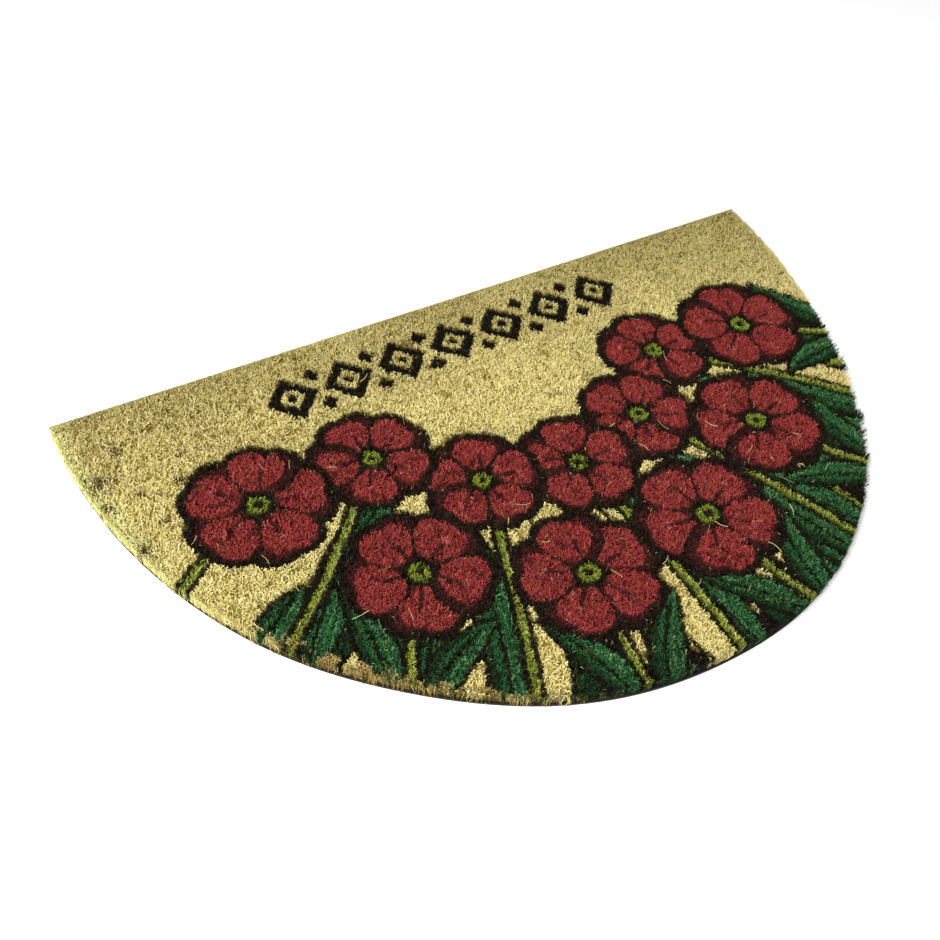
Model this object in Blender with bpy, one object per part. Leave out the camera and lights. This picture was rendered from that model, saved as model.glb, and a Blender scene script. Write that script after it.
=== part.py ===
# Half round doormat: a dense coconut-fibre pile standing on a thin dark vinyl sheet.
# Both pieces are cut to one outline, a straight edge and a wide arc that wanders a little from a true
# half ellipse. The shapes are drawn from the middle of the straight edge, with the arc towards -Y, and
# are then set so that the middle of the mat's box stands over the world origin, on the floor.

import math
import random

import bmesh
import bpy
from mathutils import Vector, noise

# Driving sizes, in metres
STRAIGHT_EDGE = 0.758
ARC_DEPTH = 0.455
MAT_HEIGHT = 0.0160
BACKING_THICKNESS = 0.0024
PIECE_GAP = 0.0003

# How far the cut arc wanders out of the half ellipse, in millimetres, at even steps from the corner on
# the right, round the arc, to the corner on the left
ARC_WANDER_MM = (3, -4, -3, 3, 4, -2, -2, -2, 3, 2, -2)
BACKING_STEPS = 120

# Each tuft at the rim stands near the middle of its stretch of the arc, and leans out over the backing
TUFT_PITCH = 0.0070
TUFT_MIDDLE_LEAST = 0.35
TUFT_MIDDLE_MOST = 0.65
TUFT_REACH_LEAST = 0.0008
TUFT_REACH_MOST = 0.0030
TUFT_VALLEY_REACH = 0.0002
RIM_SEED = 7

# The mown top of the pile rises and dips in soft lumps
LUMP_CELL = 0.0125
WIDE_LUMP_SIZE = 0.045
WIDE_LUMP_HEIGHT = 0.0007
SMALL_LUMP_SIZE = 0.016
SMALL_LUMP_HEIGHT = 0.0006

# The cutter and the slab run past each other by this much, so that no two faces lie in one plane
CUT_MARGIN = 0.012
MERGE_DISTANCE = 0.0001
MM = 0.001

PILE_BOTTOM = BACKING_THICKNESS + PIECE_GAP

FINISHES = {
    # name: (base colour, roughness)
    "straw_coir": ((0.58, 0.49, 0.20, 1.0), 0.92),
    "dark_vinyl": ((0.015, 0.015, 0.016, 1.0), 0.55),
}


def clear_scene():
    for old in list(bpy.data.objects):
        bpy.data.objects.remove(old, do_unlink=True)


def new_collection(name):
    collection = bpy.data.collections.new(name)
    bpy.context.scene.collection.children.link(collection)
    return collection


def finish(name):
    colour, roughness = FINISHES[name]
    material = bpy.data.materials.new(name)
    material.use_nodes = True
    shader = material.node_tree.nodes["Principled BSDF"]
    shader.inputs["Base Color"].default_value = colour
    shader.inputs["Roughness"].default_value = roughness
    shader.inputs["Metallic"].default_value = 0.0
    return material


def wander(share):
    """The arc's wander at a share of the way round it, read smoothly between the stations."""
    first, second = ARC_WANDER_MM[0], ARC_WANDER_MM[1]
    stations = (2 * first - second, *ARC_WANDER_MM, ARC_WANDER_MM[-1])
    place = share * (len(ARC_WANDER_MM) - 1)
    step = min(int(place), len(ARC_WANDER_MM) - 2)
    u = place - step
    before, start, end, after = stations[step:step + 4]
    straight = (end - before) * u
    curve = (2 * before - 5 * start + 4 * end - after) * u ** 2
    ease = (3 * start - before - 3 * end + after) * u ** 3
    return 0.5 * (2 * start + straight + curve + ease) * MM


def arc_point(share, reach):
    """A point of the arc, 0 at the right corner and 1 at the left, moved out by a reach."""
    angle = share * math.pi
    radius = STRAIGHT_EDGE / 2
    spot = Vector((radius * math.cos(angle), -ARC_DEPTH * math.sin(angle)))
    outwards = Vector((math.cos(angle) / radius, -math.sin(angle) / ARC_DEPTH)).normalized()
    return spot + outwards * (wander(share) + reach)


def plain_outline(steps):
    return [arc_point(step / steps, 0.0) for step in range(steps + 1)]


def tufted_outlines():
    """The pile's rim at the backing and at the tips: a tip and a valley for each tuft."""
    draw = random.Random(RIM_SEED)
    rough = plain_outline(BACKING_STEPS)
    length = sum((b - a).length for a, b in zip(rough, rough[1:]))
    tufts = round(length / TUFT_PITCH)
    foot = [arc_point(0.0, 0.0)]
    tips = [arc_point(0.0, 0.0)]
    for tuft in range(tufts):
        middle = (tuft + draw.uniform(TUFT_MIDDLE_LEAST, TUFT_MIDDLE_MOST)) / tufts
        foot.append(arc_point(middle, 0.0))
        tips.append(arc_point(middle, draw.uniform(TUFT_REACH_LEAST, TUFT_REACH_MOST)))
        if tuft < tufts - 1:
            valley = (tuft + 1) / tufts
            foot.append(arc_point(valley, 0.0))
            tips.append(arc_point(valley, TUFT_VALLEY_REACH))
    foot.append(arc_point(1.0, 0.0))
    tips.append(arc_point(1.0, 0.0))
    return foot, tips


def middle_of(points):
    """The middle of the box round an outline."""
    xs = [point.x for point in points]
    ys = [point.y for point in points]
    return Vector(((min(xs) + max(xs)) / 2, (min(ys) + max(ys)) / 2, 0.0))


def mesh_object(name, bm, collection, middle):
    mesh = bpy.data.meshes.new(name)
    bm.to_mesh(mesh)
    bm.free()
    piece = bpy.data.objects.new(name, mesh)
    piece.location = -middle
    collection.objects.link(piece)
    return piece


def pvc_backing(collection, middle):
    """A flat sheet: the plain outline as a filled curve, half its thickness to each side."""
    curve = bpy.data.curves.new("pvc_backing", "CURVE")
    curve.dimensions = "2D"
    curve.fill_mode = "BOTH"
    curve.extrude = BACKING_THICKNESS / 2
    outline = plain_outline(BACKING_STEPS)
    spline = curve.splines.new("POLY")
    spline.points.add(len(outline) - 1)
    for knot, spot in zip(spline.points, outline):
        knot.co = (spot.x, spot.y, 0.0, 1.0)
    spline.use_cyclic_u = True
    sheet = bpy.data.objects.new("pvc_backing", curve)
    sheet.location = Vector((0.0, 0.0, BACKING_THICKNESS / 2)) - middle
    collection.objects.link(sheet)
    curve.materials.append(finish("dark_vinyl"))
    return sheet


def ring(bm, points, height):
    """A closed loop of edges through the points of an outline, at one height."""
    verts = [bm.verts.new((point.x, point.y, height)) for point in points]
    return [bm.edges.new((a, b)) for a, b in zip(verts, verts[1:] + verts[:1])]


def rim_cutter(foot, tips, collection, middle):
    """The half round block that trims the pile: a loft from the rim's foot out to its tips."""
    bm = bmesh.new()
    rise = MAT_HEIGHT - PILE_BOTTOM
    lower = ring(bm, [f - (t - f) * (CUT_MARGIN / rise) for f, t in zip(foot, tips)],
                 PILE_BOTTOM - CUT_MARGIN)
    upper = ring(bm, [t + (t - f) * (CUT_MARGIN / rise) for f, t in zip(foot, tips)],
                 MAT_HEIGHT + CUT_MARGIN)
    bmesh.ops.bridge_loops(bm, edges=lower + upper)
    bmesh.ops.contextual_create(bm, geom=lower)
    bmesh.ops.contextual_create(bm, geom=upper)
    bmesh.ops.triangulate(bm, faces=bm.faces[:])
    bmesh.ops.recalc_face_normals(bm, faces=bm.faces[:])
    cutter = mesh_object("rim_cutter", bm, collection, middle)
    cutter.hide_render = True
    cutter.display_type = "WIRE"
    return cutter


def lump_height(x, y):
    wide = noise.noise(Vector((x, y, 0.0)) / WIDE_LUMP_SIZE)
    small = noise.noise(Vector((x, y, 1.0)) / SMALL_LUMP_SIZE)
    return wide * WIDE_LUMP_HEIGHT + small * SMALL_LUMP_HEIGHT


def coir_pile(cutter, collection, middle):
    """A lumpy slab, larger than the mat all round but at the straight edge, trimmed by the cutter."""
    width = STRAIGHT_EDGE + 2 * CUT_MARGIN
    depth = ARC_DEPTH + 2 * CUT_MARGIN
    bm = bmesh.new()
    bmesh.ops.create_grid(bm, x_segments=round(width / LUMP_CELL), y_segments=round(depth / LUMP_CELL),
                          size=0.5)
    bmesh.ops.scale(bm, vec=(width, depth, 1.0), verts=bm.verts[:])
    bmesh.ops.translate(bm, vec=(0.0, -ARC_DEPTH / 2, 0.0), verts=bm.verts[:])
    for vert in bm.verts:
        vert.co.z = MAT_HEIGHT + lump_height(vert.co.x, vert.co.y)
    border = [edge for edge in bm.edges if edge.is_boundary]
    skirt = bmesh.ops.extrude_edge_only(bm, edges=border)["geom"]
    for vert in skirt:
        if isinstance(vert, bmesh.types.BMVert):
            vert.co.z = PILE_BOTTOM
    hem = [edge for edge in skirt if isinstance(edge, bmesh.types.BMEdge) and edge.is_boundary]
    bmesh.ops.holes_fill(bm, edges=hem, sides=0)
    bmesh.ops.triangulate(bm, faces=bm.faces[:])
    bmesh.ops.recalc_face_normals(bm, faces=bm.faces[:])
    pile = mesh_object("coir_pile", bm, collection, middle)
    trim = pile.modifiers.new("trim to the half round", "BOOLEAN")
    trim.operation = "INTERSECT"
    trim.solver = "EXACT"
    trim.object = cutter
    weld = pile.modifiers.new("close the cut edges", "WELD")
    weld.merge_threshold = MERGE_DISTANCE
    pile.data.materials.append(finish("straw_coir"))
    return pile


def build():
    clear_scene()
    parts = new_collection("half_round_doormat")
    cutters = new_collection("cutters")
    foot, tips = tufted_outlines()
    middle = middle_of(tips)
    pvc_backing(parts, middle)
    cutter = rim_cutter(foot, tips, cutters, middle)
    coir_pile(cutter, parts, middle)


build()
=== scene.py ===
# %% [markdown]
# # A half round coir doormat
# A doormat of this kind is a thin sheet of vinyl with hundreds of thousands of cut coconut fibres
# standing in it. The top of the pile is printed. This lesson grows the pile fibre by fibre round a
# fixed frame, dyes each fibre by where it stands, and lays the mat under soft studio light.

import math

import bmesh
import bpy
import numpy as np
from mathutils import Matrix, Vector


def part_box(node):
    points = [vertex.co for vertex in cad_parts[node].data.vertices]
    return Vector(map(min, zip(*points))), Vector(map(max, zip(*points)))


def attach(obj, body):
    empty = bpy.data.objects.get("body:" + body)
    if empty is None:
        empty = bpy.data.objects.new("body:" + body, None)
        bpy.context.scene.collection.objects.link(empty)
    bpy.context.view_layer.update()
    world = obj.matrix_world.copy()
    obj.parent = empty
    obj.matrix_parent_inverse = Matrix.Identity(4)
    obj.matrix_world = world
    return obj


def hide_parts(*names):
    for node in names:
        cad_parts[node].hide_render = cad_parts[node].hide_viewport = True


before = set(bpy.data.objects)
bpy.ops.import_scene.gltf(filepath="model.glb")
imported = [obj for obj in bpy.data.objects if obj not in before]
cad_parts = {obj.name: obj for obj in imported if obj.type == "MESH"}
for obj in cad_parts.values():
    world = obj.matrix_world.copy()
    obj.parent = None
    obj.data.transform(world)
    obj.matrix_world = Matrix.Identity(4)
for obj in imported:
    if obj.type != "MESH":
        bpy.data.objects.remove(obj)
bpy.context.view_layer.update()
sheet_low, sheet_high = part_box("pvc_backing")
MM = 0.001

# %% [markdown]
# ## Camera
# The photograph looks down on the mat at about 48 degrees from the arc's side, a little to the left of
# its middle, and the camera is tipped by a few degrees. A camera can be aimed with a Track To
# constraint, but here its axes are worked out from two angles and a roll, because that is how the
# photograph was measured. The focal length is stated in pixels of a 940 pixel frame.

# %% Camera
IMAGE_SIDE = 940
FOCAL_PIXELS = 1106.3
SENSOR_WIDTH = 36.0
CAMERA_AZIMUTH = math.radians(-36.11)
CAMERA_HEIGHT_ANGLE = math.radians(47.83)
CAMERA_ROLL = math.radians(6.91)
CAMERA_DISTANCE = 0.9644
CAMERA_TARGET = Vector((-0.0763, 0.0358, 0.0))


def aim_camera():
    flat = math.cos(CAMERA_HEIGHT_ANGLE)
    back = Vector((math.sin(CAMERA_AZIMUTH) * flat, -math.cos(CAMERA_AZIMUTH) * flat,
                   math.sin(CAMERA_HEIGHT_ANGLE)))
    right = (-back).cross(Vector((0.0, 0.0, 1.0))).normalized()
    up = right.cross(-back)
    turned_right = right * math.cos(CAMERA_ROLL) + up * math.sin(CAMERA_ROLL)
    turned_up = up * math.cos(CAMERA_ROLL) - right * math.sin(CAMERA_ROLL)
    data = bpy.data.cameras.new("camera")
    data.sensor_width = SENSOR_WIDTH
    data.lens = FOCAL_PIXELS / IMAGE_SIDE * SENSOR_WIDTH
    data.clip_start = 0.01
    camera = bpy.data.objects.new("camera", data)
    camera.matrix_world = Matrix.Translation(CAMERA_TARGET + back * CAMERA_DISTANCE) @ Matrix((
        turned_right, turned_up, back)).transposed().to_4x4()
    bpy.context.scene.collection.objects.link(camera)
    bpy.context.scene.camera = camera
    return camera


camera = aim_camera()
camera_place = camera.matrix_world.translation
print("camera at", [round(c, 3) for c in camera_place], "lens", round(camera.data.lens, 1))

# %% [markdown]
# ## Studio
# The mat lies on a plain pale floor. The light is a bright, even sky with one large soft lamp above
# the near left, which gives the pile just enough shade between its tufts. The Standard view keeps the
# dyes as strong as they are in the photograph.

# %% Studio
FLOOR_SIDE = 12.0
FLOOR_COLOUR = (0.93, 0.93, 0.93, 1.0)
FLOOR_ROUGHNESS = 0.9
SKY_STRENGTH = 0.80
LAMP_SIZE = 0.6
LAMP_POWER = 42.0
LAMP_PLACE = Vector((-1.2, -0.5, 1.4))


def plain_material(name, colour, roughness):
    material = bpy.data.materials.new(name)
    material.use_nodes = True
    shader = material.node_tree.nodes["Principled BSDF"]
    shader.inputs["Base Color"].default_value = colour
    shader.inputs["Roughness"].default_value = roughness
    return material


def mesh_piece(name, bm):
    mesh = bpy.data.meshes.new(name)
    bm.to_mesh(mesh)
    bm.free()
    piece = bpy.data.objects.new(name, mesh)
    bpy.context.scene.collection.objects.link(piece)
    return piece


def build_studio():
    bm = bmesh.new()
    bmesh.ops.create_grid(bm, x_segments=1, y_segments=1, size=FLOOR_SIDE / 2)
    floor = mesh_piece("floor", bm)
    floor.data.materials.append(plain_material("pale floor", FLOOR_COLOUR, FLOOR_ROUGHNESS))
    lamp_data = bpy.data.lights.new("soft lamp", "AREA")
    lamp_data.size = LAMP_SIZE
    lamp_data.energy = LAMP_POWER
    lamp = bpy.data.objects.new("soft lamp", lamp_data)
    lamp.location = LAMP_PLACE
    lamp.rotation_mode = "QUATERNION"
    lamp.rotation_quaternion = (-LAMP_PLACE).to_track_quat("-Z", "Y")
    bpy.context.scene.collection.objects.link(lamp)
    world = bpy.data.worlds.new("even sky")
    world.use_nodes = True
    sky = world.node_tree.nodes["Background"]
    sky.inputs["Color"].default_value = (1.0, 1.0, 1.0, 1.0)
    sky.inputs["Strength"].default_value = SKY_STRENGTH
    bpy.context.scene.world = world
    bpy.context.scene.view_settings.view_transform = "Standard"


build_studio()
print("studio ready")

# %% [markdown]
# ## The outline
# The frame's vinyl sheet holds the outline that everything is cut to, so it is read from there: the
# lowest corners of its mesh, put in order round their middle. Two helpers follow. One tells which
# points lie inside, by counting the edges that a ray crosses, and one gives the distance to the rim.

# %% Outline
EDGE_TOLERANCE = 0.01


def read_rim():
    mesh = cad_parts["pvc_backing"].data
    corners = np.empty(len(mesh.vertices) * 3)
    mesh.vertices.foreach_get("co", corners)
    corners = corners.reshape(-1, 3)
    low = corners[corners[:, 2] < (sheet_low.z + sheet_high.z) / 2, :2]
    low = np.unique(low.round(6), axis=0)
    spokes = low - low.mean(axis=0)
    return low[np.argsort(np.arctan2(spokes[:, 1], spokes[:, 0]))] / MM


rim = read_rim()
straight_y = rim[:, 1].max()
straight_corners = rim[rim[:, 1] > straight_y - EDGE_TOLERANCE, 0]
middle_x = straight_corners.mean()
half_width = np.ptp(straight_corners) / 2
depth = straight_y - rim[:, 1].min()


def inside_rim(x, y):
    inside = np.zeros(len(x), bool)
    for (ax, ay), (bx, by) in zip(rim, np.roll(rim, -1, axis=0)):
        if ay == by:
            continue
        crosses = ((ay > y) != (by > y)) & (x < (bx - ax) * (y - ay) / (by - ay) + ax)
        inside ^= crosses
    return inside


def rim_distance(x, y):
    nearest = np.full(len(x), np.inf)
    for (ax, ay), (bx, by) in zip(rim, np.roll(rim, -1, axis=0)):
        run_x, run_y = bx - ax, by - ay
        share = np.clip(((x - ax) * run_x + (y - ay) * run_y) / (run_x ** 2 + run_y ** 2), 0.0, 1.0)
        nearest = np.minimum(nearest, np.hypot(x - ax - share * run_x, y - ay - share * run_y))
    return nearest


print("rim points", len(rim), "half width", round(half_width, 1), "depth", round(depth, 1), "mm")

# %% [markdown]
# ## Noise for numpy
# Tufts, lumps and ragged dye all need a smooth random field. Blender has noise textures, but the
# fibres are placed with numpy, so a small value noise is written here: random numbers on a lattice,
# blended smoothly in between. It gives about -1 to 1. Each field has a size in millimetres and a seed of
# its own, so that no two of them rise and fall together.

# %% Value noise
LATTICE_SIDE = 512


def soft_noise(x, y, size, seed):
    lattice = np.random.default_rng(seed).uniform(-1.0, 1.0, (LATTICE_SIDE, LATTICE_SIDE))
    column, row = x / size, y / size
    i, j = np.floor(column).astype(int), np.floor(row).astype(int)
    u, v = column - i, row - j
    u, v = u * u * (3 - 2 * u), v * v * (3 - 2 * v)
    i0, j0, i1, j1 = i % LATTICE_SIDE, j % LATTICE_SIDE, (i + 1) % LATTICE_SIDE, (j + 1) % LATTICE_SIDE
    near = lattice[i0, j0] * (1 - u) + lattice[i1, j0] * u
    far = lattice[i0, j1] * (1 - u) + lattice[i1, j1] * u
    return near * (1 - v) + far * v


print("noise sample", soft_noise(np.array([3.0]), np.array([4.0]), 5.0, 1).round(3))

# %% [markdown]
# ## The print: inks and brushes
# The pile is dyed from above through stencils, so a fibre takes the colour of the place where its tip
# stands. The design is painted the way a printer would lay it down, one shape over another, but as
# formulas on the fibres' own positions instead of as a picture. Places are in millimetres: across
# from the middle of the straight edge, and down from that edge towards the arc.

# %% Inks and brushes
INKS = {
    # ink: red, green, blue, as the eye sees them on a screen, 0 to 255
    "crimson": (151, 49, 52),
    "light crimson": (168, 80, 80),
    "maroon": (62, 14, 24),
    "black": (5, 3, 4),
    "petal black": (22, 6, 9),
    "green": (29, 89, 46),
    "light green": (76, 128, 84),
    "deep green": (10, 48, 26),
    "lime": (127, 140, 46),
    "pale lime": (172, 177, 92),
    "straw": (205, 188, 118),
}
OUTLINE = 4.8
LEAF_OUTLINE = 3.6


def linear(colour):
    share = np.asarray(colour, float) / 255
    return np.where(share <= 0.04045, share / 12.92, ((share + 0.055) / 1.055) ** 2.4)


def paint(dye, where, ink):
    dye[where, :3] = linear(INKS[ink])
    dye[where, 3] = 0.0 if ink == "straw" else 1.0


def along(across, down, start, end, bend):
    """Share of the way from start to end, and the distance to the left of a line bent that far."""
    run = np.subtract(end, start)
    length = math.hypot(*run)
    run = run / length
    share = ((across - start[0]) * run[0] + (down - start[1]) * run[1]) / length
    aside = (down - start[1]) * run[0] - (across - start[0]) * run[1]
    return share, aside - bend * 4 * share * (1 - share)


def on_arc(scale, degrees):
    """A place on an arc inside the rim and of its shape, from the right corner round to the left."""
    angle = math.radians(degrees)
    return scale * half_width * math.cos(angle), scale * depth * math.sin(angle)


print(len(INKS), "inks")

# %% [markdown]
# ## Leaves and stems
# A leaf is a lens along a bent line: dark round its edge and green inside, with lighter strands on
# one half, a deeper green along the other edge and a dark rib. A leaf of any other colour is plain
# inside, and a straw one is a patch of bare coir with a dark edge. A stem is a lime bar with dark sides
# and a pale streak.

# %% Leaves and stems
LEAF_TAPER = 0.8
LEAF_ENDS = (-0.02, 1.03)
STRAND_PITCH = 5.2
STRAND_DRIFT = 5.0
STRAND_LEVEL = 0.62
DEEP_EDGE = 0.62
RIB_ASIDE = 0.12
RIB_END = 0.86
RIB_HALF = 1.5
STEM_HALF = 3.1
STEM_EDGE = 4.4
STREAK_ASIDE = 1.2
STREAK_HALF = 0.9


def paint_leaf(dye, across, down, start, end, half, bend, body="green"):
    share, aside = along(across, down, start, end, bend)
    lens = half * np.sin(np.pi * np.clip(share, 0.0, 1.0) ** LEAF_TAPER) ** LEAF_TAPER
    near = (share > LEAF_ENDS[0]) & (share < LEAF_ENDS[1])
    paint(dye, near & (np.abs(aside) < lens + LEAF_OUTLINE), "black")
    leaf = near & (np.abs(aside) < lens)
    paint(dye, leaf, body)
    if body != "green":
        return
    strand = np.sin(aside / STRAND_PITCH * 2 * np.pi + share * STRAND_DRIFT) > STRAND_LEVEL
    paint(dye, leaf & strand & (aside > 0), "light green")
    paint(dye, leaf & (aside < -lens * DEEP_EDGE), "deep green")
    rib = np.abs(aside + lens * RIB_ASIDE) < RIB_HALF
    paint(dye, leaf & rib & (share < RIB_END), "black")


def paint_stem(dye, across, down, start, end, bend):
    share, aside = along(across, down, start, end, bend)
    near = (share > 0.0) & (share < 1.0)
    paint(dye, near & (np.abs(aside) < STEM_HALF + STEM_EDGE), "black")
    paint(dye, near & (np.abs(aside) < STEM_HALF), "lime")
    paint(dye, near & (np.abs(aside - STREAK_ASIDE) < STREAK_HALF), "pale lime")


print("leaf and stem brushes ready")

# %% [markdown]
# ## Rosettes
# The flowers are open, five-petalled rosettes, a common folk pattern. Each petal is a broad shape laid
# over the one before it, with a thick dark edge, a maroon shade along one side, a lighter glow and a
# crease from its foot. The heart is a lime disc in a dark ring, with a dark eye. Sizes are shares of the
# flower's radius, and how far each ink reaches over a petal's edge is a share of the outline's width.

# %% Rosettes
PETALS = 5
PETAL_MIDDLE = 0.57
PETAL_REACH = 0.45
PETAL_FOOT_WIDTH = 0.30
PETAL_SPREAD = 0.30
NOTCH_DEPTH = 0.11
NOTCH_WIDTH = 0.11
SHADE_SHIFT = (0.02, 0.085)
HALO_REACH = 0.9
DARK_REACH = 0.2
MAROON_INSET = 0.5
CRIMSON_INSET = 1.2
GLOW_SIZE = 0.40
GLOW_SIDE = -0.05
GLOW_FROM = 0.62
CREASE_HALF = 1.3
CREASE_TAPER = 1.6
CREASE_ENDS = (0.1, 0.60)
HEART_SIZE = 0.155
HEART_EYE = 0.42


def petal_shape(across, down, centre, radius, angle):
    """How far out and to the side each place is on a petal, and two sizes that are 1 on its edge: its
    own, and that of its lit part, which is the same shape a little further out and to one side."""
    out = ((across - centre[0]) * math.cos(angle) + (down - centre[1]) * math.sin(angle)) / radius
    side = ((down - centre[1]) * math.cos(angle) - (across - centre[0]) * math.sin(angle)) / radius
    width = PETAL_FOOT_WIDTH + PETAL_SPREAD * np.clip(out, 0.0, 1.0)
    notch = NOTCH_DEPTH * np.exp(-(side / NOTCH_WIDTH) ** 2) * (out > PETAL_MIDDLE)
    size = np.hypot((out - PETAL_MIDDLE) / PETAL_REACH, side / width) + notch
    lit_out = (out - PETAL_MIDDLE - SHADE_SHIFT[0]) / PETAL_REACH
    lit = np.hypot(lit_out, (side + SHADE_SHIFT[1]) / width) + notch
    return out, side, size, lit


def paint_rosette(dye, across, down, centre, radius, turn):
    edge = OUTLINE / (PETAL_REACH * radius)
    petals = [petal_shape(across, down, centre, radius, turn + petal * 2 * math.pi / PETALS)
              for petal in range(PETALS)]
    for _, _, size, _ in petals:
        paint(dye, size < 1.0 + edge * HALO_REACH, "petal black")
    for out, side, size, lit in petals:
        paint(dye, size < 1.0 + edge * DARK_REACH, "petal black")
        paint(dye, size < 1.0 - edge * MAROON_INSET, "maroon")
        paint(dye, lit < 1.0 - edge * CRIMSON_INSET, "crimson")
        paint(dye, (lit < GLOW_SIZE) & (side > GLOW_SIDE) & (out > GLOW_FROM), "light crimson")
        crease = np.abs(side) < CREASE_HALF / radius * (CREASE_TAPER - out)
        paint(dye, crease & (out > CREASE_ENDS[0]) & (out < CREASE_ENDS[1]), "maroon")
    heart = np.hypot(across - centre[0], down - centre[1]) / radius
    paint(dye, heart < HEART_SIZE + OUTLINE / radius, "black")
    paint(dye, heart < HEART_SIZE, "lime")
    paint(dye, heart < HEART_SIZE * HEART_EYE, "black")


print("rosette brush ready,", PETALS, "petals")

# %% [markdown]
# ## Lozenge band
# Along the straight edge runs a row of black lozenges with small diamonds between them, a pattern that
# woven and printed mats of many countries share. The band is bold, so its walls are thick.

# %% Lozenge band
BAND_CENTRE = (-14.0, 54.0)
BAND_SLOPE = math.radians(-1.4)
BAND_MOTIFS = 7
BAND_PITCH = 56.0
LOZENGE_HALF = (25.5, 28.0)
LOZENGE_WALL = 0.52
KERNEL = 0.22
DIAMOND_LEVEL = 19.5
DIAMOND_HALF = 9.0


def paint_band(dye, across, down):
    x, y = across - BAND_CENTRE[0], down - BAND_CENTRE[1]
    x, y = (x * math.cos(BAND_SLOPE) + y * math.sin(BAND_SLOPE),
            y * math.cos(BAND_SLOPE) - x * math.sin(BAND_SLOPE))
    for motif in range(BAND_MOTIFS):
        off = x - (motif - (BAND_MOTIFS - 1) / 2) * BAND_PITCH
        lozenge = np.abs(off) / LOZENGE_HALF[0] + np.abs(y) / LOZENGE_HALF[1]
        paint(dye, (lozenge < 1.0) & (lozenge > 1.0 - LOZENGE_WALL), "black")
        paint(dye, lozenge < KERNEL, "black")
        if motif:
            for level in (-DIAMOND_LEVEL, DIAMOND_LEVEL):
                diamond = np.abs(off + BAND_PITCH / 2) + np.abs(y - level)
                paint(dye, diamond < DIAMOND_HALF, "black")


print("band length", BAND_PITCH * (BAND_MOTIFS - 1) + 2 * LOZENGE_HALF[0], "mm")

# %% [markdown]
# ## The whole print
# The layout is worked out from the outline. Dark ground and grass lie along the rim. The flowers of the
# inner row have long stems, which run out between the flowers of the outer row, and those of the outer
# row have short ones. Each stem has a leaf on both sides, and each flower its own turn and size, so the
# rows don't look stamped. Directions are degrees round the arc, from the right corner to the left.

# %% Whole print
OUTER_ROW = {"scale": 0.765, "radius": 61.0, "degrees": (27.0, 51.0, 76.0, 101.0, 127.0, 153.0)}
INNER_ROW = {"scale": 0.525, "radius": 53.0, "degrees": (39.0, 63.5, 88.5, 114.0, 140.0)}
INNER_BODIES = (
    # the two leaves of each flower of the inner row, from the right to the left
    ("straw", "green"), ("green", "green"), ("green", "straw"), ("straw", "green"), ("green", "green"),
)
# Feet and tips are shares of the way out to the rim, leans are degrees, and half widths millimetres
INNER_LEAF = {"half": 18.0, "lean": 7.5, "foot": 1.05, "foot lean": 0.35, "tip": 0.58, "tip rise": 0.003,
              "tip lean": 1.0, "bend": 1.4}
OUTER_LEAF = {"half": 13.0, "lean": 5.0, "foot": 1.04, "foot lean": 0.3, "tip": 0.85, "tip rise": 0.0,
              "tip lean": 2.0, "bend": 1.0}
STEM_FOOT = 1.02
INNER_STEM_BEND, OUTER_STEM_BEND = 4.0, -3.0
GROUND_FROM = 0.93
GROUND_WAVE = 0.04
GROUND_WAVES = 1.9
GRASS_BLADES = 30
GRASS_FROM, GRASS_TO = 24.0, 142.0
GRASS_SPREAD = 0.3
GRASS_FOOT = 1.06
GRASS_TIP = (0.80, 0.90)
GRASS_LEAN = 3.0
GRASS_HALF = (8.0, 13.0)
GRASS_BEND = 5.0
GRASS_BODIES = ("deep green", "green", "lime", "straw", "green", "green", "straw")
SIZE_SPREAD = (0.96, 1.04)
LAYOUT_SEED = 11


def paint_grass(dye, across, down, draw):
    place = np.hypot(across / half_width, down / depth)
    angle = np.degrees(np.arctan2(down / depth, across / half_width))
    ground = place > GROUND_FROM + GROUND_WAVE * np.sin(angle * GROUND_WAVES)
    paint(dye, ground & (angle > GRASS_FROM) & (angle < GRASS_TO), "black")
    for blade in range(GRASS_BLADES):
        share = (blade + draw.uniform(-GRASS_SPREAD, GRASS_SPREAD)) / (GRASS_BLADES - 1)
        degrees = GRASS_FROM + share * (GRASS_TO - GRASS_FROM)
        tip = on_arc(draw.uniform(*GRASS_TIP), degrees + draw.uniform(-GRASS_LEAN, GRASS_LEAN))
        half = draw.uniform(*GRASS_HALF)
        bend = draw.uniform(-GRASS_BEND, GRASS_BEND)
        body = GRASS_BODIES[blade % len(GRASS_BODIES)]
        paint_leaf(dye, across, down, on_arc(GRASS_FOOT, degrees), tip, half, bend, body)


def paint_leaf_pair(dye, across, down, leaf, degrees, bodies):
    """A leaf on each side of a stem, left out where the grass ends."""
    for lean, body in zip((-leaf["lean"], leaf["lean"]), bodies):
        if degrees + lean < GRASS_TO:
            foot = on_arc(leaf["foot"], degrees + lean * leaf["foot lean"])
            tip = on_arc(leaf["tip"] + leaf["tip rise"] * lean, degrees + lean * leaf["tip lean"])
            paint_leaf(dye, across, down, foot, tip, leaf["half"], lean * leaf["bend"], body)


def paint_row_stem(dye, across, down, row, degrees, bend):
    paint_stem(dye, across, down, on_arc(STEM_FOOT, degrees), on_arc(row["scale"], degrees), bend)


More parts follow.
